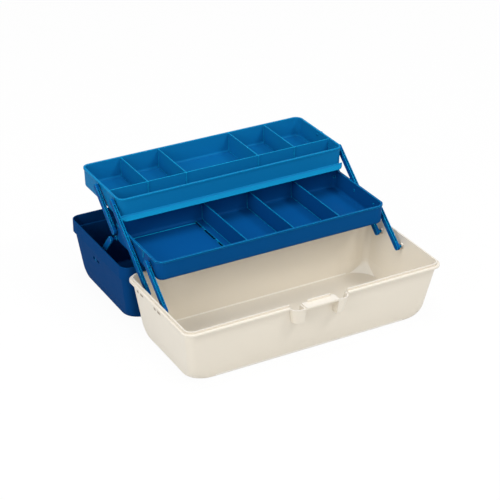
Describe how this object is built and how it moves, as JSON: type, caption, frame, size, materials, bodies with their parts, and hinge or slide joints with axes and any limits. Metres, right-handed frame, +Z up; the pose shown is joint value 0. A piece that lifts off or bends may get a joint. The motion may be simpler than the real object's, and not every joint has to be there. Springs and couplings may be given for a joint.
{
  "type": "cantilever tackle box",
  "caption": "Plastic tackle box standing open: base tub, folded-back lid and divided trays carried on swinging side arms.",
  "frame": {"origin": "on the floor under the middle of the base rim", "axes": "+X along the box to the right, +Y back to the hinge side, +Z up"},
  "size_m": [0.4, 0.402, 0.1744],
  "materials": {
    "ivory": "satin",
    "dark_blue": "satin",
    "tray_blue": "satin",
    "arm_blue": "satin",
    "steel": "satin"
  },
  "bodies": {
    "base": {"base": "ivory", "hinge_pin_right": "steel", "hinge_pin_left": "steel"},
    "lid": {"lid": "dark_blue", "latch_pin": "steel"},
    "long_arms": {"long_arm_right": "arm_blue", "long_arm_left": "arm_blue"},
    "front_arms": {"front_arm_right": "arm_blue", "front_arm_left": "arm_blue"},
    "lower_tray": {"lower_tray": "tray_blue"},
    "upper_tray": {"upper_tray": "tray_blue"},
    "rear_arms": {"rear_arm_right": "arm_blue", "rear_arm_left": "arm_blue"},
    "lid_links": {"lid_link_right": "arm_blue", "lid_link_left": "arm_blue"},
    "handle": {"handle": "dark_blue", "handle_pin_right": "steel", "handle_pin_left": "steel"},
    "latch": {"latch": "ivory"}
  },
  "joints": [
    {"name": "lid_hinge", "type": "hinge", "parent": "base", "child": "lid", "pos_m": [0, 0.0978, 0.08915], "axis": [1, 0, 0], "range_deg": [0, 180]},
    {"name": "long_arm_pivot", "type": "hinge", "parent": "base", "child": "long_arms", "pos_m": [0, 0.0545, 0.075], "axis": [1, 0, 0], "range_deg": [0, 104.51]},
    {"name": "front_arm_pivot", "type": "hinge", "parent": "base", "child": "front_arms", "pos_m": [0, 0.0013, 0.075], "axis": [1, 0, 0], "range_deg": [0, 104.51]},
    {"name": "lower_tray_pivot", "type": "hinge", "parent": "long_arms", "child": "lower_tray", "pos_m": [0, 0.109, 0.12073], "axis": [1, 0, 0], "range_deg": [-104.51, 0]},
    {"name": "upper_tray_pivot", "type": "hinge", "parent": "long_arms", "child": "upper_tray", "pos_m": [0, 0.16351, 0.16647], "axis": [1, 0, 0], "range_deg": [-104.51, 0]},
    {"name": "rear_arm_pivot", "type": "hinge", "parent": "lower_tray", "child": "rear_arms", "pos_m": [0, 0.1622, 0.12073], "axis": [1, 0, 0], "range_deg": [0, 104.51]},
    {"name": "lid_link_pivot", "type": "hinge", "parent": "lid", "child": "lid_links", "pos_m": [0, 0.20908, 0.056], "axis": [1, 0, 0], "range_deg": [0, 33.64]},
    {"name": "handle_swing", "type": "hinge", "parent": "lid", "child": "handle", "pos_m": [0, 0.2951, 0.0788], "axis": [1, 0, 0], "range_deg": [-8, 172]},
    {"name": "latch_swing", "type": "hinge", "parent": "lid", "child": "latch", "pos_m": [0, 0.2946, 0.0853], "axis": [1, 0, 0], "range_deg": [-14, 164.3]}
  ],
  "couplings": [
    {"joint": "long_arm_pivot", "follows": "lid_hinge", "ratio": 0.58056},
    {"joint": "front_arm_pivot", "follows": "lid_hinge", "ratio": 0.58056},
    {"joint": "lower_tray_pivot", "follows": "lid_hinge", "ratio": -0.58056},
    {"joint": "upper_tray_pivot", "follows": "lid_hinge", "ratio": -0.58056},
    {"joint": "rear_arm_pivot", "follows": "lid_hinge", "ratio": 0.58056},
    {"joint": "lid_link_pivot", "follows": "lid_hinge", "ratio": 0.18684}
  ]
}
